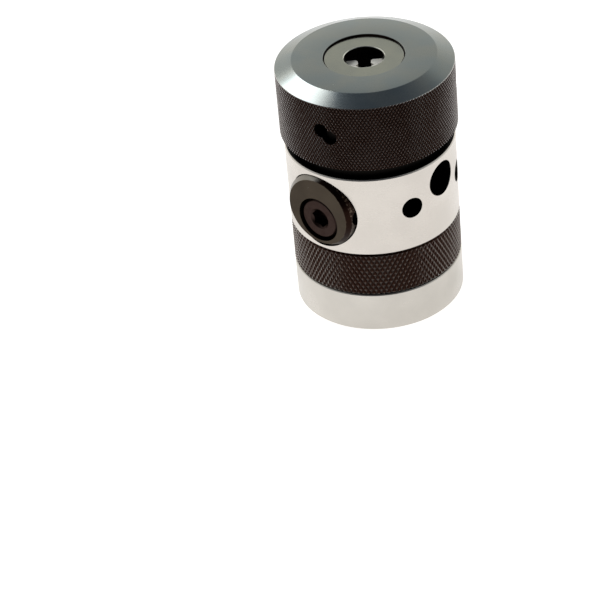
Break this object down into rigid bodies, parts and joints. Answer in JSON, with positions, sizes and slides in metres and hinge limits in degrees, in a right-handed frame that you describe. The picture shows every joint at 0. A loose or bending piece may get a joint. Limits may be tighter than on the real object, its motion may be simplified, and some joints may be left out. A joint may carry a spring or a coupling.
{
  "type": "tapping head",
  "caption": "Torque-limiting tapping head with a taper socket, knurled clutch ring, floating spindle, lock boss and knurled nose cap whose scroll moves the tap jaws.",
  "frame": {"origin": "centre of the flat back face of the drive hub, which the head stands on", "axes": "+Z along the tool axis towards the nose and the tap, -Y towards the lock boss, +X towards the ports in the housing"},
  "size_m": [0.0602, 0.0602, 0.092],
  "materials": {
    "hub_steel": "ground",
    "ring_black": "black oxide, knurled",
    "screw_black": "black oxide",
    "pad_brass": "turned",
    "nut_steel": "turned",
    "plate_steel": "ground",
    "basket_steel": "turned",
    "bearing_steel": "ground",
    "roller_steel": "polished",
    "cage_brass": "pressed",
    "spring_steel": "oiled spring steel",
    "seat_steel": "turned",
    "housing_steel": "ground",
    "boss_black": "black oxide",
    "spindle_steel": "hardened, oiled",
    "guide_steel": "ground",
    "face_black": "black oxide",
    "cap_black": "black oxide, knurled",
    "scroll_steel": "hardened",
    "pin_steel": "ground",
    "jaw_steel": "ground",
    "key_steel": "ground",
    "lining": "moulded friction lining"
  },
  "bodies": {
    "drive": {"drive_hub": "hub_steel", "disc_spring_1": "spring_steel", "disc_spring_2": "spring_steel", "disc_spring_3": "spring_steel", "pressure_plate": "plate_steel", "steel_disc_1": "plate_steel", "steel_disc_2": "plate_steel", "bearing_inner_ring": "bearing_steel", "shaft_circlip": "spring_steel"},
    "torque_ring": {"torque_ring": "ring_black", "ring_lock_screw": "screw_black", "ring_lock_pad": "pad_brass"},
    "adjusting_nut": {"adjusting_nut": "nut_steel"},
    "housing": {"housing": "housing_steel", "clutch_basket": "basket_steel", "basket_screws": "screw_black", "friction_disc_1": "lining", "friction_disc_2": "lining", "friction_disc_3": "lining", "bearing_outer_ring": "bearing_steel", "bearing_rollers": "roller_steel", "bearing_cage": "cage_brass", "bore_circlip": "spring_steel", "spring_seat": "seat_steel", "float_spring": "spring_steel", "lock_boss": "boss_black", "drive_key_1": "key_steel", "drive_key_2": "key_steel"},
    "lock_screw": {"lock_screw": "screw_black"},
    "lock_pad": {"lock_pad": "pad_brass"},
    "spindle": {"spindle": "spindle_steel", "jaw_guide": "guide_steel", "guide_screws": "screw_black", "face_ring": "face_black"},
    "nose_cap": {"nose_cap": "cap_black", "scroll_ring": "scroll_steel", "scroll_pin": "pin_steel"},
    "jaw_1": {"jaw_1": "jaw_steel"},
    "jaw_2": {"jaw_2": "jaw_steel"}
  },
  "joints": [
    {"name": "torque_ring_turn", "type": "hinge", "parent": "drive", "child": "torque_ring", "pos_m": [0, 0, 0.023], "axis": [0, 0, 1], "range_deg": [0, 240]},
    {"name": "adjusting_nut_travel", "type": "slide", "parent": "drive", "child": "adjusting_nut", "axis": [0, 0, 1], "range_m": [-0.00101, 0]},
    {"name": "clutch_slip", "type": "hinge", "parent": "drive", "child": "housing", "pos_m": [0, 0, 0.0265], "axis": [0, 0, 1], "continuous": true},
    {"name": "nose_float", "type": "slide", "parent": "housing", "child": "spindle", "axis": [0, 0, 1], "range_m": [-0.003, 0.0015], "stiffness_N_per_m": 20000, "springref_m": 0.0004, "deforming": ["float_spring"]},
    {"name": "cap_turn", "type": "hinge", "parent": "spindle", "child": "nose_cap", "pos_m": [0, 0, 0.0767], "axis": [0, 0, 1], "range_deg": [-120, 260]},
    {"name": "jaw_1_travel", "type": "slide", "parent": "spindle", "child": "jaw_1", "axis": [0.766, 0.6428, 0], "range_m": [-0.00101, 0.00218]},
    {"name": "jaw_2_travel", "type": "slide", "parent": "spindle", "child": "jaw_2", "axis": [-0.766, -0.6428, 0], "range_m": [-0.00101, 0.00218]},
    {"name": "lock_screw_turn", "type": "hinge", "parent": "housing", "child": "lock_screw", "pos_m": [0, -0.026, 0.0432], "axis": [0, 1, 0], "range_deg": [0, 72]},
    {"name": "lock_pad_travel", "type": "slide", "parent": "housing", "child": "lock_pad", "axis": [0, 1, 0], "range_m": [0, 0.000251]}
  ],
  "couplings": [
    {"joint": "adjusting_nut_travel", "follows": "torque_ring_turn", "m_per_rad": -0.00023873},
    {"joint": "jaw_1_travel", "follows": "cap_turn", "m_per_rad": 0.00047746},
    {"joint": "jaw_2_travel", "follows": "cap_turn", "m_per_rad": 0.00047746},
    {"joint": "lock_pad_travel", "follows": "lock_screw_turn", "m_per_rad": 0.00019894}
  ]
}
